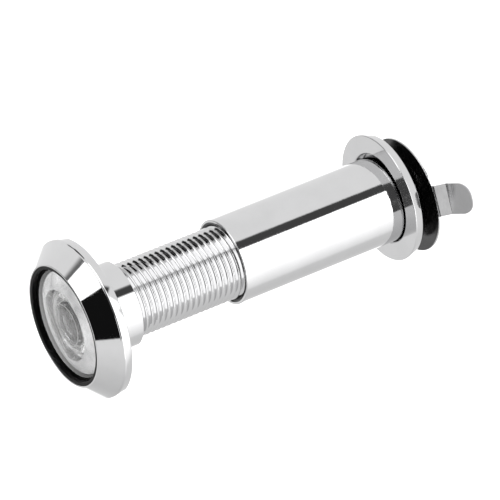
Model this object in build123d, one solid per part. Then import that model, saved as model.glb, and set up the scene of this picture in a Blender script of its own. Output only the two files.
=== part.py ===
"""Door viewer: a threaded outer barrel with wide-angle lenses, and an inner sleeve with a swinging cover.

The viewer's axis is Y. The origin is on the axis, in the plane of the head's back face, which
seats on the outside of the door. The lenses look along -Y, the person indoors looks in from +Y,
and +Z is up. All dimensions are in millimetres.
"""

from build123d import *

import os
from math import cos, radians, sin, sqrt

# Head and barrel, outside the door.
HEAD_R = 13.0
HEAD_BAND_W = 1.5
HEAD_EDGE_ROUND = 0.6
SEAM_Y = -1.2
HEAD_DEPTH = 4.5
HEAD_FRONT_R = 10.0
TUBE_R = 7.0
COLLAR_L = 5.75
BARREL_END_Y = 34.2
BARREL_BORE_R = 4.4
SPIGOT_R = 10.6
SPIGOT_FRONT_Y = -3.0
SEAT_POCKET_R = 9.6
SEAT_POCKET_Y = -1.0
CELL_BORE_R = 6.3
CELL_LEDGE_Y = 2.4

# Thread between the barrel and the sleeve. It is right-handed.
PITCH = 1.0
MALE_ROOT_R = 5.45
MALE_CREST_R = 6.0
FEMALE_ROOT_R = 6.15
FEMALE_CREST_R = 5.6
RIB_ROOT_HALF = 0.40
RIB_CREST_HALF = 0.08
RIB_EMBED = 0.1
MALE_START_Y = 4.75
MALE_TURNS = 28.75
FEMALE_START_Y = MALE_START_Y + 20.5 * PITCH
FEMALE_TURNS = 9.0

# Front lens, its seal and its seat.
LENS_R = 9.25
LENS_APEX_Y = -5.5
LENS_FRONT_RADIUS = 25.0
LENS_BACK_RADIUS = 22.0
LENS_CENTRE_T = 0.9
SEAL_OUTER_R = 9.98
SEAL_LIP_R = 9.2
BEZEL_LIP_R = 9.78
BEZEL_LIP_T = 0.35
SEAL_RECESS = 0.08
SEAT_BORE_R = 5.64
GLASS_GAP = 0.04
SEAT_BEVEL = 0.12

# Small lenses behind the front one.
SECOND_LENS_R = 5.6
SECOND_LENS_APEX_Y = -3.75
SECOND_LENS_BACK_Y = -1.4
THIRD_LENS_FRONT_Y = 1.0
RING_GAP = 0.03
LOCK_RING_L = 0.9

# Inner sleeve, its head and its eyepiece.
SLEEVE_MOUTH_Y = 24.55
RING_FRONT_Y = 53.9
RING_T = 1.5
RING_R = 10.5
RING_HOLE_R = 7.35
RING_OFFSET_Z = 0.3
SLEEVE_HEAD_R = 8.3
SLEEVE_HEAD_Y = RING_FRONT_Y + RING_T + 0.05
SLEEVE_BACK_Y = 56.6
EYE_SHOULDER_Y = 53.0
EYE_BORE_R = 5.4
EYE_LIP_Y = 55.9
EYE_APERTURE_R = 4.4
EYE_LENS_R = 5.35
EYE_LENS_FRONT_Y = 53.7
EYE_LENS_BACK_Y = 56.1
EYE_LENS_RADIUS = 18.3
EYE_RING_BACK_Y = 54.2
EYE_RING_BORE_R = 4.6
GASKET_T = 0.3
SLOT_W = 1.6
SLOT_DEPTH = 0.8

# Privacy cover and its pivot.
COVER_FRONT_Y = 58.2
SHEET_T = 0.3
COVER_R = 9.4
PIVOT_R_FROM_AXIS = 6.9
PIVOT_ANGLE = 210.0
COVER_ARM = 7.7
COVER_SWING = -4.8
TAB_W = 5.1
TAB_RISE = ((1.1, 1.75), (4.15, 1.65))
TAB_BEND_R = 0.35
TAB_ROOT_INSET = 0.1
TAB_ROOT_OVERLAP = 0.6
TAB_CORNER_R = 2.2
RIVET_R = 0.9
RIVET_HOLE_R = 0.92
RIVET_DEPTH = 1.0
COVER_HOLE_R = 0.95
RIVET_HEAD_R = 1.7
WASHER_GAP = 0.05
WASHER_T = 0.3
SPRING_T = 0.25
WASHER_R = 2.0
WASHER_HOLE_R = 1.0


def sag(radius, r):
    """Depth of a sphere's cap below its apex, at distance r from its axis."""
    return radius - sqrt(radius**2 - r**2)


def turned(points, rounds=()):
    """Solid of revolution about Y from an (r, y) outline, with rounded corners (corner index, radius)."""
    face = make_face(Polyline(*points, close=True))
    for index, radius in rounds:
        corner = Vector(*points[index])
        nearest = min(face.vertices(), key=lambda v: (Vector(*v) - corner).length)
        face = fillet(nearest, radius)
    return revolve(face, Axis.Y)


def turned_face(*edges):
    """Solid of revolution about Y from an outline of lines and arcs in (r, y)."""
    return revolve(make_face(Curve() + list(edges)), Axis.Y)


def cap_arc(apex_y, radius, r_from, r_to, sign):
    """Arc of a lens surface from r_from to r_to. The surface curves towards +Y when sign is 1."""
    middle = (r_from + r_to) / 2
    points = [(r, apex_y + sign * sag(radius, r)) for r in (r_from, middle, r_to)]
    return ThreePointArc(*points)


def helical_rib(start_y, turns, root_r, crest_r):
    """One-start right-handed thread rib. Its flanks run on a little way into the wall at root_r."""
    height = crest_r - root_r
    embed = -RIB_EMBED if height > 0 else RIB_EMBED
    base_half = RIB_ROOT_HALF + RIB_EMBED * (RIB_ROOT_HALF - RIB_CREST_HALF) / abs(height)
    path = Helix(PITCH, turns * PITCH, root_r + embed, center=(0, start_y, 0), direction=(0, 1, 0))
    start = path @ 0
    outward = Vector(start.X, 0, start.Z).normalized()
    plane = Plane(origin=start, x_dir=outward, z_dir=path % 0)
    profile = Polyline(
        (0, -base_half),
        (height - embed, -RIB_CREST_HALF),
        (height - embed, RIB_CREST_HALF),
        (0, base_half),
        close=True,
    )
    return sweep(make_face(plane * profile), path=path, is_frenet=True)


def at_pivot(part):
    """Move a part turned about Y to the cover's pivot."""
    angle = radians(PIVOT_ANGLE)
    return Pos(PIVOT_R_FROM_AXIS * cos(angle), 0, PIVOT_R_FROM_AXIS * sin(angle)) * part


def outer_barrel():
    outline = [
        (SEAT_POCKET_R, SPIGOT_FRONT_Y),
        (SPIGOT_R, SPIGOT_FRONT_Y),
        (SPIGOT_R, SEAM_Y),
        (HEAD_R, SEAM_Y),
        (HEAD_R - 0.1, 0),
        (TUBE_R, 0),
        (TUBE_R, COLLAR_L),
        (MALE_ROOT_R, COLLAR_L),
        (MALE_ROOT_R, BARREL_END_Y - 0.3),
        (MALE_ROOT_R - 0.3, BARREL_END_Y),
        (BARREL_BORE_R, BARREL_END_Y),
        (BARREL_BORE_R, CELL_LEDGE_Y),
        (CELL_BORE_R, CELL_LEDGE_Y),
        (CELL_BORE_R, SEAT_POCKET_Y),
        (SEAT_POCKET_R, SEAT_POCKET_Y),
    ]
    tube = turned(outline, [(4, 0.2), (6, 0.15)])
    return tube + helical_rib(MALE_START_Y, MALE_TURNS, MALE_ROOT_R, MALE_CREST_R)


def front_bezel():
    front_y = -HEAD_DEPTH
    outline = [
        (BEZEL_LIP_R, front_y),
        (HEAD_FRONT_R, front_y),
        (HEAD_R, -HEAD_BAND_W),
        (HEAD_R, SEAM_Y),
        (SPIGOT_R, SEAM_Y),
        (SPIGOT_R, SPIGOT_FRONT_Y),
        (SEAL_OUTER_R + 0.02, SPIGOT_FRONT_Y),
        (SEAL_OUTER_R + 0.02, front_y + BEZEL_LIP_T),
        (BEZEL_LIP_R, front_y + BEZEL_LIP_T),
    ]
    return turned(outline, [(1, 0.12), (2, HEAD_EDGE_ROUND)])


def lens_seal_ring():
    front_y = -HEAD_DEPTH + SEAL_RECESS
    shoulder_y = -HEAD_DEPTH + BEZEL_LIP_T + RING_GAP
    back_y = SPIGOT_FRONT_Y - RING_GAP
    step_y = LENS_APEX_Y + sag(LENS_FRONT_RADIUS, SEAL_LIP_R) - RING_GAP
    outline = [
        (SEAL_LIP_R, front_y),
        (BEZEL_LIP_R - RING_GAP, front_y),
        (BEZEL_LIP_R - RING_GAP, shoulder_y),
        (SEAL_OUTER_R, shoulder_y),
        (SEAL_OUTER_R, back_y),
        (LENS_R + GLASS_GAP, back_y),
        (LENS_R + GLASS_GAP, step_y),
        (SEAL_LIP_R, step_y),
    ]
    return turned(outline, [(0, 0.1)])


def front_lens():
    front = cap_arc(LENS_APEX_Y, LENS_FRONT_RADIUS, 0, LENS_R, 1)
    back = cap_arc(LENS_APEX_Y + LENS_CENTRE_T, LENS_BACK_RADIUS, LENS_R, 0, 1)
    return turned_face(front, Line(front @ 1, back @ 0), back, Line(back @ 1, front @ 0))


def objective_seat():
    apex_y = LENS_APEX_Y + LENS_CENTRE_T + GLASS_GAP
    outer_r = SEAT_POCKET_R - GLASS_GAP
    face = cap_arc(apex_y, LENS_BACK_RADIUS, SEAT_BORE_R + SEAT_BEVEL, LENS_R, 1)
    bottom_y = SEAT_POCKET_Y - RING_GAP
    rim = Polyline(
        face @ 1,
        (outer_r, (face @ 1).Y),
        (outer_r, bottom_y),
        (SEAT_BORE_R, bottom_y),
        (SEAT_BORE_R, (face @ 0).Y + SEAT_BEVEL),
        face @ 0,
    )
    return turned_face(face, rim)


def second_lens():
    """Dome with a bevelled edge in front and a deep bowl behind."""
    bevel_r = 4.6
    bevel_l = 0.4
    dome_radius = 23.7
    bowl_r = 3.4
    bowl_depth = 1.5
    bowl_radius = (bowl_r**2 + bowl_depth**2) / (2 * bowl_depth)
    front = cap_arc(SECOND_LENS_APEX_Y, dome_radius, 0, bevel_r, 1)
    bowl = cap_arc(SECOND_LENS_BACK_Y - bowl_depth, bowl_radius, bowl_r, 0, 1)
    rim = Polyline(
        front @ 1,
        (SECOND_LENS_R, (front @ 1).Y + bevel_l),
        (SECOND_LENS_R, SECOND_LENS_BACK_Y),
        bowl @ 0,
    )
    return turned_face(front, rim, bowl, Line(bowl @ 1, front @ 0))


def objective_lock_ring():
    inner_r = 4.1
    chamfer = 0.3
    nose_y = SECOND_LENS_BACK_Y + RING_GAP
    back_y = SEAT_POCKET_Y + LOCK_RING_L
    outline = [
        (inner_r, nose_y),
        (SECOND_LENS_R, nose_y),
        (SECOND_LENS_R, SEAT_POCKET_Y),
        (CELL_BORE_R - RING_GAP, SEAT_POCKET_Y),
        (CELL_BORE_R - RING_GAP, back_y),
        (inner_r + chamfer, back_y),
        (inner_r, back_y - chamfer),
    ]
    return turned(outline)


def lens_spacer():
    """Short tube whose bore narrows towards the third lens."""
    front_inner_r = 4.3
    back_inner_r = 3.7
    outer_r = CELL_BORE_R - 2 * RING_GAP
    front_y = SEAT_POCKET_Y + LOCK_RING_L + RING_GAP
    back_y = THIRD_LENS_FRONT_Y - RING_GAP
    return turned([(front_inner_r, front_y), (outer_r, front_y), (outer_r, back_y), (back_inner_r, back_y)])


def third_lens():
    bowl_r = 3.3
    bowl_depth = 0.8
    bowl_radius = (bowl_r**2 + bowl_depth**2) / (2 * bowl_depth)
    outer_r = CELL_BORE_R - GLASS_GAP
    back_y = CELL_LEDGE_Y - RING_GAP
    bowl = cap_arc(THIRD_LENS_FRONT_Y + bowl_depth, bowl_radius, 0, bowl_r, -1)
    rim = Polyline(bowl @ 1, (outer_r, THIRD_LENS_FRONT_Y), (outer_r, back_y), (0, back_y), bowl @ 0)
    return turned_face(bowl, rim)


def inner_sleeve():
    outline = [
        (FEMALE_ROOT_R + 0.2, SLEEVE_MOUTH_Y),
        (TUBE_R, SLEEVE_MOUTH_Y),
        (TUBE_R, SLEEVE_HEAD_Y),
        (SLEEVE_HEAD_R, SLEEVE_HEAD_Y),
        (SLEEVE_HEAD_R, SLEEVE_BACK_Y),
        (EYE_APERTURE_R, SLEEVE_BACK_Y),
        (EYE_APERTURE_R, EYE_LIP_Y),
        (EYE_BORE_R, EYE_LIP_Y),
        (EYE_BORE_R, EYE_SHOULDER_Y),
        (FEMALE_ROOT_R, EYE_SHOULDER_Y),
        (FEMALE_ROOT_R, SLEEVE_MOUTH_Y + 0.2),
    ]
    tube = turned(outline, [(1, 0.15), (4, 0.25), (5, 0.2)])
    tube += helical_rib(FEMALE_START_Y, FEMALE_TURNS, FEMALE_ROOT_R, FEMALE_CREST_R)
    slot_l = SLEEVE_HEAD_R - EYE_APERTURE_R + 1
    slot = Pos(EYE_APERTURE_R + 0.8 + slot_l / 2, SLEEVE_BACK_Y, 0) * Box(slot_l, 2 * SLOT_DEPTH, SLOT_W)
    for side in (90, -90):
        tube -= Rot(0, -(PIVOT_ANGLE + side), 0) * slot
    hole = Pos(0, SLEEVE_BACK_Y, 0) * Rot(90, 0, 0) * Cylinder(RIVET_HOLE_R, 2 * RIVET_DEPTH)
    return tube - at_pivot(hole)


def rear_escutcheon():
    back_y = RING_FRONT_Y + RING_T
    outline = [
        (RING_HOLE_R, RING_FRONT_Y + 0.15),
        (RING_HOLE_R + 0.15, RING_FRONT_Y),
        (RING_R, RING_FRONT_Y),
        (RING_R, back_y),
        (RING_HOLE_R + 0.15, back_y),
        (RING_HOLE_R, back_y - 0.15),
    ]
    return Pos(0, 0, RING_OFFSET_Z) * turned(outline, [(2, 0.3), (3, 0.3)])


def eyepiece_lens():
    front = cap_arc(EYE_LENS_FRONT_Y, EYE_LENS_RADIUS, 0, EYE_LENS_R, 1)
    back = cap_arc(EYE_LENS_BACK_Y, EYE_LENS_RADIUS, EYE_LENS_R, 0, -1)
    return turned_face(front, Line(front @ 1, back @ 0), back, Line(back @ 1, front @ 0))


def eyepiece_gasket():
    inner_r = EYE_APERTURE_R + 0.05
    outer_r = EYE_LENS_R
    back_y = EYE_LIP_Y - 0.02
    front_y = back_y - GASKET_T
    return turned([(inner_r, front_y), (outer_r, front_y), (outer_r, back_y), (inner_r, back_y)])


def eyepiece_lock_ring():
    chamfer = 0.3
    outer_r = EYE_BORE_R - RING_GAP
    front_y = EYE_SHOULDER_Y + 0.1
    outline = [
        (EYE_RING_BORE_R + chamfer, front_y),
        (outer_r, front_y),
        (outer_r, EYE_RING_BACK_Y),
        (EYE_RING_BORE_R, EYE_RING_BACK_Y),
        (EYE_RING_BORE_R, front_y + chamfer),
    ]
    return turned(outline)


def tab_strip(direction, centre):
    """Bent finger tab of the cover, with its root just inside the disc's edge."""
    outward = Vector(cos(direction), 0, sin(direction))
    root_r = sqrt(COVER_R**2 - (TAB_W / 2) ** 2) - TAB_ROOT_OVERLAP
    middle_y = COVER_FRONT_Y + SHEET_T / 2
    bend_r = COVER_R - TAB_ROOT_INSET
    path = [(root_r, middle_y), (bend_r, middle_y)]
    for run, rise in TAB_RISE:
        path.append((path[-1][0] + run, path[-1][1] + rise))
    line = FilletPolyline(*path, radius=TAB_BEND_R)
    flat = trace(line, line_width=SHEET_T)
    strip = extrude(flat, TAB_W / 2, both=True)
    across_sheet = [e for e in strip.edges() if abs(e.center().Z) > TAB_W / 4 and e.length < 2 * SHEET_T]
    tips = sorted(across_sheet, key=lambda e: e.center().X)[-2:]
    strip = fillet(tips, TAB_CORNER_R)
    plane = Plane(origin=centre, x_dir=outward, z_dir=Vector(0, 1, 0).cross(outward) * -1)
    return plane * strip


def privacy_cover():
    pivot = radians(PIVOT_ANGLE)
    direction = radians(PIVOT_ANGLE - 180 + COVER_SWING)
    centre = Vector(
        PIVOT_R_FROM_AXIS * cos(pivot) + COVER_ARM * cos(direction),
        0,
        PIVOT_R_FROM_AXIS * sin(pivot) + COVER_ARM * sin(direction),
    )
    back_y = COVER_FRONT_Y + SHEET_T
    disc = turned(
        [(0, COVER_FRONT_Y), (COVER_R, COVER_FRONT_Y), (COVER_R, back_y), (0, back_y)],
        [(1, 0.08), (2, 0.08)],
    )
    cover = Pos(centre) * disc + tab_strip(direction, centre)
    hole = Pos(0, COVER_FRONT_Y, 0) * Rot(90, 0, 0) * Cylinder(COVER_HOLE_R, 4 * SHEET_T)
    return cover - at_pivot(hole)


def spring_washer():
    """Dished washer that presses the cover against the rivet's head."""
    low_y = SLEEVE_BACK_Y + 0.02
    high_y = COVER_FRONT_Y - WASHER_GAP
    outline = [
        (WASHER_HOLE_R, high_y - SPRING_T),
        (WASHER_R, low_y),
        (WASHER_R, low_y + SPRING_T),
        (WASHER_HOLE_R, high_y),
    ]
    return at_pivot(turned(outline))


def thrust_washer():
    low_y = COVER_FRONT_Y + SHEET_T + WASHER_GAP
    outline = [
        (WASHER_HOLE_R, low_y),
        (WASHER_R, low_y),
        (WASHER_R, low_y + WASHER_T),
        (WASHER_HOLE_R, low_y + WASHER_T),
    ]
    return at_pivot(turned(outline, [(2, 0.1)]))


def pivot_rivet():
    base_y = SLEEVE_BACK_Y - RIVET_DEPTH + 0.05
    head_y = COVER_FRONT_Y + SHEET_T + WASHER_GAP + WASHER_T + 0.02
    head_rim_h = 0.15
    dome_h = 0.7
    dome_radius = (RIVET_HEAD_R**2 + dome_h**2) / (2 * dome_h)
    dome = cap_arc(head_y + head_rim_h + dome_h, dome_radius, RIVET_HEAD_R, 0, -1)
    shank = Polyline(
        dome @ 1,
        (0, base_y),
        (RIVET_R - 0.15, base_y),
        (RIVET_R, base_y + 0.15),
        (RIVET_R, head_y),
        (RIVET_HEAD_R, head_y),
        dome @ 0,
    )
    return at_pivot(turned_face(dome, shank))


PIECES = (
    outer_barrel,
    front_bezel,
    lens_seal_ring,
    front_lens,
    objective_seat,
    second_lens,
    objective_lock_ring,
    lens_spacer,
    third_lens,
    inner_sleeve,
    rear_escutcheon,
    eyepiece_lens,
    eyepiece_gasket,
    eyepiece_lock_ring,
    privacy_cover,
    spring_washer,
    thrust_washer,
    pivot_rivet,
)

os.makedirs("parts", exist_ok=True)
for piece in PIECES:
    export_step(piece(), f"parts/{piece.__name__}.step")
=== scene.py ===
from math import cos, pi, radians, sin, sqrt

import bmesh
import bpy
import numpy as np
from mathutils import Matrix, Vector


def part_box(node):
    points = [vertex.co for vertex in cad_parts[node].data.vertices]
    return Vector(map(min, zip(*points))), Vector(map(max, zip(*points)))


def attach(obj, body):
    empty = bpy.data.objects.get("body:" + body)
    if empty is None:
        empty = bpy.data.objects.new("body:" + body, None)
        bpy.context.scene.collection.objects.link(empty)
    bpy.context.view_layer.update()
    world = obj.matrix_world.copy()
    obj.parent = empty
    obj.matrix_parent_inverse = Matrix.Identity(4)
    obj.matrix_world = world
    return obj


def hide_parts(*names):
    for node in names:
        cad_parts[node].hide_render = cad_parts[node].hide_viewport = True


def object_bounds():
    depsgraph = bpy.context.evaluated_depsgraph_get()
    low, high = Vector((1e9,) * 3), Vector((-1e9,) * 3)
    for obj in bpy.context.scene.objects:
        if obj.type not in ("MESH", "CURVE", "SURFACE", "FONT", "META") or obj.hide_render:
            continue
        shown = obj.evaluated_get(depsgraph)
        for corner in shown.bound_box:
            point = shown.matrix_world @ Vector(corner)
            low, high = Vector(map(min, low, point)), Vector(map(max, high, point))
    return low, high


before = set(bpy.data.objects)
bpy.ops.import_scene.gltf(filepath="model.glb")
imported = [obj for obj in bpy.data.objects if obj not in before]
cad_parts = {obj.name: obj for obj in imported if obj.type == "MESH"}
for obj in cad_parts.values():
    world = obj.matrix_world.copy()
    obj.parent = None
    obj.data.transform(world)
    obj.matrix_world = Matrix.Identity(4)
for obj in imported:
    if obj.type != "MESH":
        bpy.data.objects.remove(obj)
CAD_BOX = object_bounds()

# Outlines are written in millimetres as (r, y), with r from the viewer's axis, and turned into metres.
MM = 0.001

# Head and barrel, in millimetres.
HEAD_BAND_Y = -1.5
HEAD_FRONT_R = 10.0
HEAD_LIP_R = 9.78
RIM_R = 9.6
SPIGOT_R = 10.6
SPIGOT_BORE_R = 10.0
TUBE_R = 7.0
COLLAR_L = 5.75
POCKET_R = 6.3
POCKET_FLOOR_Y = 2.4
BORE_R = 4.4
SEAL_BORE_R = 9.2
SEAL_LIP_R = 9.75
SEAL_R = 9.98
SEAL_POCKET_R = 9.29
SEAT_BORE_R = 5.64
SEAT_FACE_R = 9.25
SEAT_LAND = 0.12
SEAT_LAND_DEPTH = 0.08
LOCK_RING_BORE_R = 4.1
LOCK_RING_NECK_R = 5.6
LOCK_RING_FLANGE_Y = -1.0
LIP_DEPTH = 0.35
RIM_TAPER = 0.1
CHAMFER = 0.3
EDGE_RADIUS = 0.15

# Gaps between pieces, in millimetres.
PLAY = 0.03
SEAT_GAP = 0.04
LENS_EDGE_GAP = 0.05
HEAD_GAP = 0.05
SHOULDER_GAP = 0.1

# Threads, in millimetres. The rib's widths are in pitches from its middle, and so are the rows of the mesh.
PITCH = 1.0
MALE_ROOT_R = 5.45
MALE_CREST_R = 6.0
FEMALE_ROOT_R = 6.15
FEMALE_CREST_R = 5.6
THREAD_PHASE_Y = 4.75
THREAD_RUNOUT = 0.5
THREAD_MOUTH = 0.2
THREAD_END_GAP = 0.1
RIB_ROOT_HALF = 0.46
RIB_CREST_HALF = 0.08
RIB_SOFTNESS = 0.10
RIB_ROWS = (
    -0.5, -0.475, -0.45, -0.42, -0.37, -0.26, -0.16, -0.11, -0.08, -0.05,
    0.0, 0.05, 0.08, 0.11, 0.16, 0.26, 0.37, 0.42, 0.45, 0.475,
)

# Lenses, in millimetres. A curve is the radius of the sphere that a face lies on.
FRONT_GLASS_Y = -5.5
FRONT_GLASS_DEPTH = 0.9
FRONT_CURVE = 25.0
FRONT_INNER_CURVE = 22.0
SECOND_CURVE = 23.7
SECOND_FACE_R = 4.6
SECOND_BOWL_R = 3.4
SECOND_BOWL_DEPTH = 1.5
SECOND_SHOULDER_DEPTH = 0.4
THIRD_BOWL_R = 3.3
THIRD_BOWL_DEPTH = 0.8
EYEPIECE_CURVE = 18.3
EYEPIECE_FACE_R = 5.35

# Indoor end, in millimetres and degrees.
SLEEVE_THREAD_END_Y = 35.0
SLEEVE_LIP_DEPTH = 0.7
EYE_HOLE_R = 4.4
EYEPIECE_POCKET_R = 5.4
RING_BORE_R = 7.35
RING_TAPER = 0.35
PIVOT_R = 6.9
PIVOT_ANGLE = 210
PIVOT_HOLE_R = 0.92
PIVOT_HOLE_DEPTH = 1.0
PIVOT_HOLE_COLUMNS = 48
SLOT_SIZE = (4.6, 1.6, 1.6)
SLOT_R = 7.5

# Meshes: columns round the axis, steps along an arc or a face, angles in degrees, weld distance in metres.
COLUMNS = 192
SHARP_DEGREES = 32
THREAD_SHARP_DEGREES = 60
WELD_DISTANCE = 2e-6
ARC_STEPS = 6
HEAD_ARC_STEPS = 8
LENS_STEPS = 24
SEAT_STEPS = 16


def box_mm(node):
    """Lowest and highest corner of a CAD node, in millimetres."""
    low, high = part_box(node)
    return low / MM, high / MM


HEAD_R = box_mm("front_bezel")[1].z


# ---------------------------------------------------------------------------
# Outlines and meshes
# ---------------------------------------------------------------------------


def sag(radius, r):
    """How far a sphere falls back from its apex at a distance r from its axis."""
    return radius - sqrt(radius**2 - r**2)


def rounded(corners, steps=ARC_STEPS):
    """Outline points from (r, y) or (r, y, radius) corners, with each radius as an arc."""
    points = []
    count = len(corners)
    for i, corner in enumerate(corners):
        here = Vector(corner[:2])
        if len(corner) < 3:
            points.append(tuple(here))
            continue
        before = (Vector(corners[i - 1][:2]) - here).normalized()
        after = (Vector(corners[(i + 1) % count][:2]) - here).normalized()
        half = before.angle(after) / 2
        reach = corner[2] / np.tan(half)
        centre = here + (before + after).normalized() * (corner[2] / sin(half))
        start = here + before * reach - centre
        end = here + after * reach - centre
        turn = start.angle_signed(end)
        for k in range(steps + 1):
            angle = -turn * k / steps
            spun = Matrix.Rotation(angle, 2) @ start
            points.append(tuple(centre + spun))
    return points


def cap(apex_y, radius, r_from, r_to, sign=1, steps=LENS_STEPS):
    """Points of a lens surface. It curves towards +Y as r grows when sign is 1."""
    return [
        (r, apex_y + sign * sag(radius, r))
        for r in np.linspace(r_from, r_to, steps + 1)
    ]


def new_object(name, vertices, faces):
    mesh = bpy.data.meshes.new(name)
    mesh.from_pydata(vertices, [], faces)
    mesh.validate()
    obj = bpy.data.objects.new(name, mesh)
    bpy.context.scene.collection.objects.link(obj)
    return obj


def weld(obj):
    """Join the points that lie on each other."""
    shape = bmesh.new()
    shape.from_mesh(obj.data)
    bmesh.ops.remove_doubles(shape, verts=shape.verts, dist=WELD_DISTANCE)
    bmesh.ops.recalc_face_normals(shape, faces=shape.faces)
    shape.to_mesh(obj.data)
    shape.free()


def grid_faces(rows, columns, first, closed):
    """Quads between rows of vertices that go round the axis."""
    faces = []
    for i in range(rows if closed else rows - 1):
        a = first + i * columns
        b = first + ((i + 1) % rows) * columns
        for j in range(columns):
            k = (j + 1) % columns
            faces.append((a + j, b + j, b + k, a + k))
    return faces


def lathe(name, outline, columns=COLUMNS, at=(0, 0)):
    """Mesh turned about an axis along Y through at=(x, z). An outline that starts and ends at r=0 gets
    two poles."""
    poles = outline[0][0] < 1e-9
    ring = outline[1:-1] if poles else outline
    angles = [2 * pi * j / columns for j in range(columns)]
    vertices = []
    for r, y in ring:
        for angle in angles:
            vertices.append(((at[0] + r * sin(angle)) * MM, y * MM, (at[1] + r * cos(angle)) * MM))
    faces = grid_faces(len(ring), columns, 0, not poles)
    if poles:
        for row, end in ((0, outline[0]), (len(ring) - 1, outline[-1])):
            pole = len(vertices)
            vertices.append((at[0] * MM, end[1] * MM, at[1] * MM))
            for j in range(columns):
                k = (j + 1) % columns
                pair = (row * columns + j, row * columns + k)
                faces.append((pole, *pair) if row == 0 else (pole, *reversed(pair)))
    return new_object(name, vertices, faces)


def face_outwards(obj):
    """Turn the faces so that they all look out of the solid."""
    volume = 0.0
    mesh = obj.data
    mesh.calc_loop_triangles()
    for triangle in mesh.loop_triangles:
        a, b, c = (mesh.vertices[i].co for i in triangle.vertices)
        volume += a.dot(b.cross(c))
    if volume < 0:
        mesh.flip_normals()


def smooth(obj, sharp_degrees):
    """Smooth shading that keeps flats flat and corners sharp."""
    mesh = obj.data
    mesh.polygons.foreach_set("use_smooth", [True] * len(mesh.polygons))
    mesh.set_sharp_from_angle(angle=radians(sharp_degrees))
    weighted = obj.modifiers.new("weighted normals", "WEIGHTED_NORMAL")
    weighted.mode = "FACE_AREA"
    weighted.weight = 50
    weighted.keep_sharp = True


def cut(obj, *tools):
    """Take the tools' volume out of the piece."""
    for tool in tools:
        face_outwards(tool)
        boolean = obj.modifiers.new("cut", "BOOLEAN")
        boolean.operation = "DIFFERENCE"
        boolean.solver = "EXACT"
        boolean.object = tool
    bpy.context.view_layer.update()
    depsgraph = bpy.context.evaluated_depsgraph_get()
    mesh = bpy.data.meshes.new_from_object(obj.evaluated_get(depsgraph))
    obj.modifiers.clear()
    obj.data = mesh
    for tool in tools:
        bpy.data.objects.remove(tool)


def finish_piece(obj, node, body, material, sharp_degrees=SHARP_DEGREES):
    """A piece that stands for one CAD node."""
    smooth(obj, sharp_degrees)
    obj.data.materials.clear()
    obj.data.materials.append(material)
    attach(obj, body)
    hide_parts(node)
    return obj


def turned_piece(name, node, body, material, outline, at=(0, 0)):
    """A finished piece turned about an axis along Y through at=(x, z)."""
    obj = lathe(name, outline, at=at)
    face_outwards(obj)
    return finish_piece(obj, node, body, material)


# ---------------------------------------------------------------------------
# Materials
# ---------------------------------------------------------------------------


class Nodes:
    """Short hand for building one node tree."""

    def __init__(self, tree):
        self.tree = tree

    def add(self, kind, **settings):
        node = self.tree.nodes.new(kind)
        for key, value in settings.items():
            setattr(node, key, value)
        return node

    def link(self, output, socket):
        self.tree.links.new(output, socket)

    def value(self, target, thing):
        if isinstance(thing, bpy.types.NodeSocket):
            self.link(thing, target)
        else:
            target.default_value = thing

    def math(self, operation, a, b=None):
        node = self.add("ShaderNodeMath", operation=operation)
        self.value(node.inputs[0], a)
        if b is not None:
            self.value(node.inputs[1], b)
        return node.outputs[0]

    def map_range(self, value, low, high, to_low, to_high, kind="LINEAR"):
        node = self.add("ShaderNodeMapRange", interpolation_type=kind)
        self.value(node.inputs["Value"], value)
        node.inputs["From Min"].default_value = low
        node.inputs["From Max"].default_value = high
        node.inputs["To Min"].default_value = to_low
        node.inputs["To Max"].default_value = to_high
        return node.outputs["Result"]

    def noise(self, scale, detail=3.0, stretch=(1, 1, 1)):
        """Noise in object space. scale is in features per metre."""
        where = self.add("ShaderNodeTexCoord")
        mapping = self.add("ShaderNodeMapping")
        mapping.inputs["Scale"].default_value = stretch
        self.link(where.outputs["Object"], mapping.inputs["Vector"])
        node = self.add("ShaderNodeTexNoise")
        node.inputs["Scale"].default_value = scale
        node.inputs["Detail"].default_value = detail
        self.link(mapping.outputs["Vector"], node.inputs["Vector"])
        return node.outputs["Fac"]

    def split(self, output):
        """X, Y and Z of one of the texture coordinates."""
        where = self.add("ShaderNodeTexCoord")
        parts = self.add("ShaderNodeSeparateXYZ")
        self.link(where.outputs[output], parts.inputs[0])
        return parts.outputs

    def length(self, across, up):
        """Distance from the middle of a plane."""
        square = self.math("ADD", self.math("MULTIPLY", across, across), self.math("MULTIPLY", up, up))
        return self.math("SQRT", square)


def new_material(name):
    material = bpy.data.materials.new(name)
    material.use_nodes = True
    nodes = Nodes(material.node_tree)
    shader = material.node_tree.nodes["Principled BSDF"]
    return material, nodes, shader


def tint(nodes, shader, colour, spread, factor):
    """Base colour that varies a little either side of colour."""
    ramp = nodes.add("ShaderNodeValToRGB")
    ramp.color_ramp.elements[0].position = 0.3
    ramp.color_ramp.elements[0].color = (*[c * (1 - spread) for c in colour], 1)
    ramp.color_ramp.elements[1].position = 0.7
    ramp.color_ramp.elements[1].color = (*[min(c * (1 + spread), 1) for c in colour], 1)
    nodes.link(factor, ramp.inputs["Fac"])
    nodes.link(ramp.outputs["Color"], shader.inputs["Base Color"])


def bump(nodes, shader, height, distance):
    """Surface relief. distance is its height in metres."""
    node = nodes.add("ShaderNodeBump")
    node.inputs["Strength"].default_value = 1.0
    node.inputs["Distance"].default_value = distance
    nodes.link(height, node.inputs["Height"])
    nodes.link(node.outputs["Normal"], shader.inputs["Normal"])


# Lengths inside a material are in metres.
EDGE_BLEND = 0.02 * MM
# Half width of each painted highlight ring on the lens glass.
HIGHLIGHT_RING_HALF = 0.06 * MM
TURNING_MARK = 0.0012 * MM
TOOL_MARK = 0.002 * MM
RUBBER_GRAIN = 0.008 * MM
DULL_BLACK = (0.004, 0.004, 0.004)
GLASS_IOR = 1.52
GLASS_HAZE = 0.004


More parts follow.
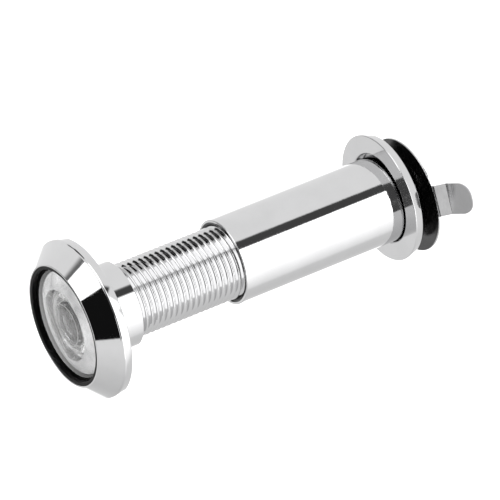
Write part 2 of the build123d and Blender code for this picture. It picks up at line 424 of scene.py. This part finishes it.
def chrome(name, colour, roughness, grain=1.0, cloudiness=0.02):
    """Polished plating: faint turning marks round the axis, a cloudy variation and a few dull smears."""
    material, nodes, shader = new_material(name)
    shader.inputs["Metallic"].default_value = 1.0
    clouds = nodes.noise(260, 2.0)
    marks = nodes.noise(1500, 2.0, stretch=(1, 3.5, 1))
    smears = nodes.noise(900, 4.0, stretch=(1, 0.5, 1))
    tint(nodes, shader, colour, cloudiness, clouds)
    rough = nodes.map_range(smears, 0.45, 0.75, roughness, roughness + 0.05)
    nodes.link(rough, shader.inputs["Roughness"])
    bump(nodes, shader, marks, TURNING_MARK * grain)
    return material


def paint_shade_black(material, centre, radius, depth=None):
    """Paint dull black over the plating inside a circle round the centre's line along Y, as shade in a bore
    or a gap. A depth keeps it to what lies before that Y."""
    nodes = Nodes(material.node_tree)
    shader = material.node_tree.nodes["Principled BSDF"]
    x, y, z = nodes.split("Object")
    away = nodes.length(nodes.math("SUBTRACT", x, centre.x), nodes.math("SUBTRACT", z, centre.z))
    black = nodes.map_range(away, radius - EDGE_BLEND, radius, 1.0, 0.0)
    if depth is not None:
        front = nodes.map_range(y, depth, depth + EDGE_BLEND, 1.0, 0.0)
        black = nodes.math("MULTIPLY", black, front)
    nodes.link(nodes.math("SUBTRACT", 1.0, black), shader.inputs["Metallic"])
    mix = nodes.add("ShaderNodeMix", data_type="RGBA")
    nodes.link(black, mix.inputs[0])
    nodes.link(shader.inputs["Base Color"].links[0].from_socket, mix.inputs[6])
    mix.inputs[7].default_value = (*DULL_BLACK, 1)
    nodes.link(mix.outputs[2], shader.inputs["Base Color"])


def turned_metal(name, colour, roughness):
    """Machined ring with visible tool marks."""
    material, nodes, shader = new_material(name)
    shader.inputs["Metallic"].default_value = 1.0
    marks = nodes.noise(2500, 2.0, stretch=(1, 4, 1))
    tint(nodes, shader, colour, 0.08, marks)
    nodes.link(nodes.map_range(marks, 0.3, 0.7, roughness, roughness + 0.08), shader.inputs["Roughness"])
    bump(nodes, shader, marks, TOOL_MARK)
    return material


def black_rubber(name, colour, roughness, shine=0.5):
    """Black rubber or plastic with a fine grain."""
    material, nodes, shader = new_material(name)
    grain = nodes.noise(6000, 3.0)
    tint(nodes, shader, colour, 0.25, grain)
    nodes.link(nodes.map_range(grain, 0.3, 0.7, roughness, roughness + 0.15), shader.inputs["Roughness"])
    shader.inputs["Specular IOR Level"].default_value = shine
    bump(nodes, shader, grain, RUBBER_GRAIN)
    return material


def lens_glass(name, highlight_rings=()):
    """Clear optical glass with a trace of polish haze. Each radius listed gets a painted highlight ring: a
    thin opaque white band that stands in for the highlight on a lens edge, white like a ground edge.
    """
    material, nodes, shader = new_material(name)
    shader.inputs["Base Color"].default_value = (1, 1, 1, 1)
    shader.inputs["Transmission Weight"].default_value = 1.0
    shader.inputs["IOR"].default_value = GLASS_IOR
    haze = nodes.noise(1200, 3.0)
    nodes.link(nodes.map_range(haze, 0.5, 0.8, 0.0, GLASS_HAZE), shader.inputs["Roughness"])
    # Painted highlight rings: the glass turns opaque white in a thin band at each listed radius.
    if highlight_rings:
        x, y, z = nodes.split("Object")
        radius = nodes.length(x, z)
        clear = 1.0
        for highlight_r in highlight_rings:
            apart = nodes.math("ABSOLUTE", nodes.math("SUBTRACT", radius, highlight_r))
            edge = nodes.map_range(apart, HIGHLIGHT_RING_HALF - EDGE_BLEND, HIGHLIGHT_RING_HALF, 0.0, 1.0)
            clear = nodes.math("MULTIPLY", clear, edge)
        nodes.link(clear, shader.inputs["Transmission Weight"])
    return material


# Painted shade: the sleeve is black inside; the cover's inner side is black short of its edge, as lacquer
# and as painted shade.
SLEEVE_SHADE_R = 6.6 * MM
COVER_BLACK_R = 9.32 * MM
COVER_BLACK_DEPTH = 0.05 * MM
PLATING = (0.655, 0.655, 0.66)
CHROME = chrome("chrome_plate", PLATING, 0.035)
TUBE_CHROME = chrome("tube_chrome", PLATING, 0.035, 0.2)
SLEEVE_CHROME = chrome("sleeve_chrome", PLATING, 0.035, 3.0)
# Painted shade: the sleeve's bore and its end faces inside this radius are dull black.
paint_shade_black(SLEEVE_CHROME, Vector((0, 0, 0)), SLEEVE_SHADE_R)
RING_CHROME = chrome("ring_chrome", PLATING, 0.09, 3.0)
COVER_LOW, COVER_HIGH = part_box("privacy_cover")
COVER_R = (COVER_HIGH.z - COVER_LOW.z) / 2
COVER_CENTRE = Vector((COVER_LOW.x + COVER_R, 0, COVER_LOW.z + COVER_R))
SHEET = chrome("cover_sheet", (0.64, 0.64, 0.645), 0.16, 1.5)
# Painted shade and lacquer: the cover's inner side is dull black short of its edge, standing for shade in
# the gap as well as a black lacquer.
paint_shade_black(SHEET, COVER_CENTRE, COVER_BLACK_R, COVER_LOW.y + COVER_BLACK_DEPTH)
SEAT = chrome("bright_seat", (0.68, 0.68, 0.685), 0.05, 0.7, 0.3)
RING_METAL = turned_metal("lock_ring_metal", (0.5, 0.5, 0.5), 0.1)
STEEL = turned_metal("washer_steel", (0.45, 0.45, 0.46), 0.25)
SEAL = black_rubber("black_seal", DULL_BLACK, 0.35, 0.12)
PLASTIC = black_rubber("black_plastic", (0.02, 0.02, 0.02), 0.4)
GLASS = lens_glass("lens_glass")
# The second lens gets painted highlight rings: white bands at its bowl rim and at the edge of its face.
HIGHLIGHT_RING_GLASS = lens_glass("highlight_ring_glass", (SECOND_BOWL_R * MM, SECOND_FACE_R * MM))


# ---------------------------------------------------------------------------
# Outdoor assembly
# ---------------------------------------------------------------------------


def rib_height(apart):
    """Height of the thread's rib, 0 to 1, at a distance from its crest in pitches. Corners are rounded."""
    rise = (RIB_ROOT_HALF - abs(apart)) / (RIB_ROOT_HALF - RIB_CREST_HALF)
    soft = RIB_SOFTNESS
    return (sqrt(rise**2 + soft**2) - sqrt((rise - 1) ** 2 + soft**2) + 1) / 2


def fade(y, low, high, length):
    """1 inside low..high, falling to 0 over length at each end."""
    return min(max(min(y - low, high - y) / length, 0.0), 1.0)


def thread_strip(y_from, y_to, r, height, phase_y, fades):
    """Vertices and faces of a threaded wall. Its rows follow the helix, so the ribs' corners are clean.
    Rows past an end are gathered on the end circle."""
    per_pitch = len(RIB_ROWS)
    first = int((y_from - phase_y) / PITCH) - 2
    last = int((y_to - phase_y) / PITCH) + 2
    rows = [(turn + apart, apart) for turn in range(first, last) for apart in RIB_ROWS]
    vertices = []
    for place, apart in rows:
        for j in range(COLUMNS):
            share = j / COLUMNS
            y = phase_y + (place + share) * PITCH
            here = min(max(y, y_from), y_to)
            lift = height * rib_height(apart) * fade(here, *fades) if y == here else 0.0
            angle = 2 * pi * share
            vertices.append(((r + lift) * sin(angle) * MM, here * MM, (r + lift) * cos(angle) * MM))
    faces = []
    for i in range(len(rows) - 1):
        for j in range(COLUMNS - 1):
            a = i * COLUMNS + j
            faces.append((a, a + COLUMNS, a + COLUMNS + 1, a + 1))
        a = i * COLUMNS + COLUMNS - 1
        b = (i + per_pitch) * COLUMNS
        if i + per_pitch + 1 < len(rows):
            faces.append((a, a + COLUMNS, b + COLUMNS, b))
    return vertices, faces


def threaded_tube(name, wall, strip):
    """Turned wall, open between its last and first outline points, closed by a threaded strip."""
    vertices = []
    for r, y in wall:
        for j in range(COLUMNS):
            angle = 2 * pi * j / COLUMNS
            vertices.append((r * sin(angle) * MM, y * MM, r * cos(angle) * MM))
    faces = grid_faces(len(wall), COLUMNS, 0, False)
    strip_vertices, strip_faces = strip
    shift = len(vertices)
    faces += [tuple(i + shift for i in face) for face in strip_faces]
    obj = new_object(name, vertices + strip_vertices, faces)
    weld(obj)
    return obj


def build_barrel():
    low, high = box_mm("outer_barrel")
    thread_end_y = high.y - CHAMFER
    seam_y = box_mm("front_bezel")[1].y
    pocket_y = box_mm("objective_seat")[1].y + PLAY
    outside = rounded([
        (RIM_R, low.y),
        (SPIGOT_R, low.y),
        (SPIGOT_R, seam_y),
        (HEAD_R, seam_y),
        (HEAD_R - RIM_TAPER, 0, 0.2),
        (TUBE_R, 0),
        (TUBE_R, COLLAR_L, EDGE_RADIUS),
        (MALE_ROOT_R, COLLAR_L),
    ])
    inside = [
        (MALE_ROOT_R, thread_end_y),
        (MALE_ROOT_R - CHAMFER, high.y),
        (BORE_R, high.y),
        (BORE_R, POCKET_FLOOR_Y),
        (POCKET_R, POCKET_FLOOR_Y),
        (POCKET_R, pocket_y),
        (RIM_R, pocket_y),
        (RIM_R, low.y),
    ]
    rib = MALE_CREST_R - MALE_ROOT_R
    fades = (COLLAR_L - PITCH, thread_end_y, THREAD_RUNOUT)
    strip = thread_strip(COLLAR_L, thread_end_y, MALE_ROOT_R, rib, THREAD_PHASE_Y, fades)
    obj = threaded_tube("barrel_body", inside + outside[1:], strip)
    finish_piece(obj, "outer_barrel", "exterior", TUBE_CHROME, THREAD_SHARP_DEGREES)


def build_head():
    low, high = box_mm("front_bezel")
    lip_y = low.y + LIP_DEPTH
    spigot_y = box_mm("outer_barrel")[0].y
    outline = rounded([
        (HEAD_LIP_R, low.y, 0.04),
        (HEAD_FRONT_R, low.y, 0.12),
        (HEAD_R, HEAD_BAND_Y, 0.6),
        (HEAD_R, high.y),
        (SPIGOT_R, high.y),
        (SPIGOT_R, spigot_y),
        (SPIGOT_BORE_R, spigot_y),
        (SPIGOT_BORE_R, lip_y),
        (HEAD_LIP_R, lip_y),
    ], HEAD_ARC_STEPS)
    turned_piece("bezel", "front_bezel", "exterior", CHROME, outline)
    low, high = box_mm("lens_seal_ring")
    step_y = FRONT_GLASS_Y + sag(FRONT_CURVE, SEAL_BORE_R) - PLAY
    outline = rounded([
        (SEAL_BORE_R, low.y, 0.1),
        (SEAL_LIP_R, low.y),
        (SEAL_LIP_R, lip_y + PLAY),
        (SEAL_R, lip_y + PLAY),
        (SEAL_R, high.y),
        (SEAL_POCKET_R, high.y),
        (SEAL_POCKET_R, step_y),
        (SEAL_BORE_R, step_y),
    ])
    turned_piece("seal_ring", "lens_seal_ring", "exterior", SEAL, outline)


def bowl_sphere(rim_r, depth):
    """Radius of the sphere of a bowl with this rim and depth."""
    return (rim_r**2 + depth**2) / (2 * depth)


def build_lenses():
    low, high = box_mm("front_lens")
    face_r = high.x - LENS_EDGE_GAP
    outline = cap(low.y, FRONT_CURVE, 0, face_r)
    outline += cap(low.y + FRONT_GLASS_DEPTH, FRONT_INNER_CURVE, face_r, 0)
    turned_piece("front_glass", "front_lens", "exterior", GLASS, outline)
    low, high = box_mm("second_lens")
    shoulder_y = low.y + sag(SECOND_CURVE, SECOND_FACE_R) + SECOND_SHOULDER_DEPTH
    bowl_curve = bowl_sphere(SECOND_BOWL_R, SECOND_BOWL_DEPTH)
    outline = cap(low.y, SECOND_CURVE, 0, SECOND_FACE_R) + [(high.x, shoulder_y), (high.x, high.y)]
    outline += cap(high.y - SECOND_BOWL_DEPTH, bowl_curve, SECOND_BOWL_R, 0)
    turned_piece("second_glass", "second_lens", "exterior", HIGHLIGHT_RING_GLASS, outline)
    low, high = box_mm("third_lens")
    bowl_curve = bowl_sphere(THIRD_BOWL_R, THIRD_BOWL_DEPTH)
    outline = cap(low.y + THIRD_BOWL_DEPTH, bowl_curve, 0, THIRD_BOWL_R, -1)
    outline += [(high.x, low.y), (high.x, high.y), (0, high.y)]
    turned_piece("third_glass", "third_lens", "exterior", GLASS, outline)


def build_seat_and_rings():
    low, high = box_mm("objective_seat")
    apex_y = FRONT_GLASS_Y + FRONT_GLASS_DEPTH + SEAT_GAP
    face = cap(apex_y, FRONT_INNER_CURVE, SEAT_BORE_R + SEAT_LAND, SEAT_FACE_R, 1, SEAT_STEPS)
    outline = face + [(high.x, face[-1][1]), (high.x, high.y), (SEAT_BORE_R, high.y)]
    outline += [(SEAT_BORE_R, face[0][1] + SEAT_LAND_DEPTH)]
    turned_piece("seat_ring", "objective_seat", "exterior", SEAT, outline)
    low, high = box_mm("objective_lock_ring")
    outline = rounded([
        (LOCK_RING_BORE_R, low.y, 0.1),
        (LOCK_RING_NECK_R, low.y),
        (LOCK_RING_NECK_R, LOCK_RING_FLANGE_Y),
        (POCKET_R - PLAY, LOCK_RING_FLANGE_Y),
        (POCKET_R - PLAY, high.y),
        (BORE_R, high.y),
        (LOCK_RING_BORE_R, high.y - CHAMFER),
    ])
    turned_piece("lock_ring", "objective_lock_ring", "exterior", RING_METAL, outline)


# ---------------------------------------------------------------------------
# Indoor assembly
# ---------------------------------------------------------------------------


def box_tool(size, centre, turn):
    """Box to cut with, turned about the viewer's axis."""
    x, y, z = (s / 2 for s in size)
    corners = [Vector((i * x, j * y, k * z)) for i in (-1, 1) for j in (-1, 1) for k in (-1, 1)]
    spin = Matrix.Rotation(turn, 3, "Y")
    vertices = [spin @ (corner + Vector(centre)) * MM for corner in corners]
    faces = [(0, 1, 3, 2), (4, 6, 7, 5), (0, 4, 5, 1), (2, 3, 7, 6), (0, 2, 6, 4), (1, 5, 7, 3)]
    return new_object("tool", vertices, faces)


def build_sleeve():
    low, high = box_mm("inner_sleeve")
    head_y = box_mm("rear_escutcheon")[1].y + HEAD_GAP
    shoulder_y = box_mm("eyepiece_lock_ring")[0].y - SHOULDER_GAP
    lip_y = high.y - SLEEVE_LIP_DEPTH
    thread_from_y = low.y + THREAD_MOUTH
    thread_to_y = SLEEVE_THREAD_END_Y
    wall = rounded([
        (FEMALE_ROOT_R, thread_from_y),
        (FEMALE_ROOT_R + THREAD_MOUTH, low.y),
        (TUBE_R, low.y, EDGE_RADIUS),
        (TUBE_R, head_y),
        (high.x, head_y, 0.25),
        (high.x, high.y, 0.2),
        (EYE_HOLE_R, high.y),
        (EYE_HOLE_R, lip_y),
        (EYEPIECE_POCKET_R, lip_y),
        (EYEPIECE_POCKET_R, shoulder_y),
        (FEMALE_ROOT_R, shoulder_y),
        (FEMALE_ROOT_R, thread_to_y),
    ])
    rib = FEMALE_CREST_R - FEMALE_ROOT_R
    fades = (thread_from_y + THREAD_END_GAP, thread_to_y - THREAD_END_GAP, THREAD_RUNOUT)
    phase_y = THREAD_PHASE_Y + PITCH / 2
    strip = thread_strip(thread_from_y, thread_to_y, FEMALE_ROOT_R, rib, phase_y, fades)
    obj = threaded_tube("sleeve_tube", wall, strip)
    pivot = radians(PIVOT_ANGLE)
    slots = [box_tool(SLOT_SIZE, (SLOT_R, high.y, 0), -(pivot + side)) for side in (pi / 2, -pi / 2)]
    hole_at = (PIVOT_R * cos(pivot), PIVOT_R * sin(pivot))
    hole_y = high.y - PIVOT_HOLE_DEPTH
    over_y = high.y + 1
    drill = [(0, hole_y), (PIVOT_HOLE_R, hole_y), (PIVOT_HOLE_R, over_y), (0, over_y)]
    hole = lathe("tool", drill, PIVOT_HOLE_COLUMNS, at=hole_at)
    cut(obj, *slots, hole)
    weld(obj)
    finish_piece(obj, "inner_sleeve", "sleeve", SLEEVE_CHROME, THREAD_SHARP_DEGREES)


def build_escutcheon():
    low, high = box_mm("rear_escutcheon")
    centre = (0, (low.z + high.z) / 2)
    outline = rounded([
        (RING_BORE_R, low.y, 0.3),
        (high.x, low.y, 0.12),
        (high.x - RING_TAPER, high.y, 0.2),
        (RING_BORE_R, high.y, EDGE_RADIUS),
    ])
    turned_piece("escutcheon_ring", "rear_escutcheon", "escutcheon", RING_CHROME, outline, centre)


def build_eyepiece():
    low, high = box_mm("eyepiece_lens")
    outline = cap(low.y, EYEPIECE_CURVE, 0, EYEPIECE_FACE_R)
    outline += cap(high.y, EYEPIECE_CURVE, EYEPIECE_FACE_R, 0, -1)
    turned_piece("eyepiece_glass", "eyepiece_lens", "sleeve", GLASS, outline)


build_barrel()
build_head()
build_lenses()
build_seat_and_rings()
build_sleeve()
build_escutcheon()
build_eyepiece()

NODE_LOOKS = {
    "lens_spacer": PLASTIC,
    "eyepiece_gasket": SEAL,
    "eyepiece_lock_ring": RING_METAL,
    "privacy_cover": SHEET,
    "pivot_rivet": CHROME,
    "spring_washer": STEEL,
    "thrust_washer": STEEL,
}
for node_name, look in NODE_LOOKS.items():
    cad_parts[node_name].material_slots[0].material = look


# ---------------------------------------------------------------------------
# Studio: floor, surroundings and camera
# ---------------------------------------------------------------------------


def direction_angles(nodes):
    """Azimuth from -Y towards +X and elevation of the direction looked at, in degrees."""
    x, y, z = nodes.split("Generated")
    azimuth = nodes.math("ARCTAN2", x, nodes.math("MULTIPLY", y, -1.0))
    azimuth = nodes.math("MULTIPLY", azimuth, 180 / pi)
    elevation = nodes.math("MULTIPLY", nodes.math("ARCSINE", z), 180 / pi)
    return azimuth, elevation


def patch(nodes, azimuth, elevation, az_range, el_range, az_soft, el_soft):
    """1 inside a rectangle of directions, 0 outside. Each soft pair is the width in degrees of the fade
    at the range's low and high end."""
    inside = None
    sides = ((azimuth, az_range, az_soft), (elevation, el_range, el_soft))
    for value, (low, high), (low_soft, high_soft) in sides:
        up = nodes.map_range(value, low - low_soft / 2, low + low_soft / 2, 0.0, 1.0, "SMOOTHSTEP")
        down = nodes.map_range(value, high - high_soft / 2, high + high_soft / 2, 1.0, 0.0, "SMOOTHSTEP")
        both = nodes.math("MULTIPLY", up, down)
        inside = both if inside is None else nodes.math("MULTIPLY", inside, both)
    return inside


# Soft boxes and black flags round the object: azimuth range, elevation range, brightness, and the edge
# softness at the low and high end of each range.
STUDIO = (
    ((-200, 200), (69, 90), 2.2, (1, 1), (3, 1)),
    ((-140, -100), (-70, -12), 1.5, (10, 10), (10, 12)),
    ((88, 112), (-30, 64), 2.3, (4, 3), (8, 4)),
    ((100, 132), (-12, 32), 2.6, (6, 4), (14, 3)),
    ((104, 140), (28, 49), 2.6, (6, 6), (6, 3)),
    ((-34, 1), (18, 46), 2.6, (2, 2), (4, 8)),
    ((1, 45), (-11, 40), 0.008, (1.5, 3), (2, 3)),
    ((-14, 5), (-12, 14), 0.01, (4, 2), (3, 4)),
    ((12, 26), (-22, -8), 0.01, (3, 2), (5, 2)),
    ((-25, -3), (-36, -14), 0.5, (4, 2), (4, 2)),
    ((-61, -55), (-25, 6), 0.01, (2, 2), (5, 3)),
    ((-58, -46), (-25, 12.5), 0.01, (3, 2), (5, 3)),
    ((-48, -28), (-25, 21), 0.01, (2, 3), (5, 4)),
    ((-104, -65), (36, 60), 0.01, (4, 3), (4, 3)),
    ((-92, -74), (22, 40), 0.01, (4, 4), (4, 3)),
    ((58, 80), (-3, 30), 0.1, (3, 4), (2, 1)),
    ((28, 80), (22, 66), 0.1, (4, 4), (3, 9)),
    ((131, 158), (48, 64), 0.07, (3, 8), (3, 6)),
    ((-42, -35), (20, 33), 0.2, (8, 1), (4, 4)),
)
# Elevation and brightness at the two ends of the floor's rise, and of the lit floor at the right-hand side,
# which adds to it inside its own patch.
FLOOR_GLOW = ((-85, 0.66), (-20, 1.0))
SIDE_GLOW = ((-62, 0.0), (-8, 0.7))
SIDE_PATCH = ((96, 132), (-90, 0), (12, 8), (1, 1))
FLOOR_HALF = 3.0
FLOOR_SEEN_GLOW = 0.7

# Camera: angles in degrees, distance in metres, the point it aims at, its lens and sensor in millimetres.
CAMERA_AZIMUTH = 56.84
CAMERA_ELEVATION = 37.93
CAMERA_DISTANCE = 0.8825
CAMERA_AIM = (1.356, 28.779, 1.518)
CAMERA_LENS = 409.3
CAMERA_SENSOR = 36


def glow(nodes, elevation, ends):
    """Brightness that rises with the elevation between two (elevation, brightness) ends."""
    (low_el, low_level), (high_el, high_level) = ends
    return nodes.map_range(elevation, low_el, high_el, low_level, high_level)


def build_world():
    """White to the camera, and the studio to everything else."""
    world = bpy.data.worlds.new("studio")
    bpy.context.scene.world = world
    world.use_nodes = True
    nodes = Nodes(world.node_tree)
    background = world.node_tree.nodes["Background"]
    azimuth, elevation = direction_angles(nodes)
    beside = patch(nodes, azimuth, elevation, *SIDE_PATCH)
    side_level = nodes.math("MULTIPLY", beside, glow(nodes, elevation, SIDE_GLOW))
    level = nodes.math("ADD", glow(nodes, elevation, FLOOR_GLOW), side_level)
    for az_range, el_range, brightness, az_soft, el_soft in STUDIO:
        mask = patch(nodes, azimuth, elevation, az_range, el_range, az_soft, el_soft)
        mix = nodes.add("ShaderNodeMix", data_type="FLOAT")
        nodes.value(mix.inputs[0], mask)
        nodes.value(mix.inputs[2], level)
        mix.inputs[3].default_value = brightness
        level = mix.outputs[0]
    rays = nodes.add("ShaderNodeLightPath")
    seen = nodes.add("ShaderNodeMix", data_type="FLOAT")
    nodes.link(rays.outputs["Is Camera Ray"], seen.inputs[0])
    nodes.value(seen.inputs[2], level)
    seen.inputs[3].default_value = 1.0
    nodes.link(seen.outputs[0], background.inputs["Strength"])
    background.inputs["Color"].default_value = (1, 1, 1, 1)


def build_floor():
    low_z = CAD_BOX[0].z
    corners = [(x * FLOOR_HALF, y * FLOOR_HALF, low_z) for x, y in ((-1, -1), (1, -1), (1, 1), (-1, 1))]
    obj = new_object("floor", corners, [(0, 1, 2, 3)])
    material, nodes, shader = new_material("floor_paper")
    grain = nodes.noise(300, 2.0)
    tint(nodes, shader, (0.88, 0.88, 0.88), 0.01, grain)
    shader.inputs["Roughness"].default_value = 0.9
    shader.inputs["Specular IOR Level"].default_value = 0.0
    rays = nodes.add("ShaderNodeLightPath")
    seen = nodes.math("MULTIPLY", rays.outputs["Is Camera Ray"], FLOOR_SEEN_GLOW)
    shader.inputs["Emission Color"].default_value = (1, 1, 1, 1)
    nodes.link(seen, shader.inputs["Emission Strength"])
    obj.data.materials.append(material)
    obj.visible_glossy = False


def build_camera():
    azimuth = radians(CAMERA_AZIMUTH)
    elevation = radians(CAMERA_ELEVATION)
    aim = Vector(CAMERA_AIM) * MM
    back = Vector((sin(azimuth) * cos(elevation), -cos(azimuth) * cos(elevation), sin(elevation)))
    right = Vector((cos(azimuth), sin(azimuth), 0))
    up = back.cross(right)
    data = bpy.data.cameras.new("camera")
    data.lens = CAMERA_LENS
    data.sensor_width = CAMERA_SENSOR
    data.clip_start = 0.05
    data.clip_end = 20
    obj = bpy.data.objects.new("camera", data)
    bpy.context.scene.collection.objects.link(obj)
    place = Matrix((right, up, back)).transposed().to_4x4()
    place.translation = aim + back * CAMERA_DISTANCE
    obj.matrix_world = place
    bpy.context.scene.camera = obj


build_world()
build_floor()
build_camera()
bpy.context.scene.view_settings.view_transform = "Standard"
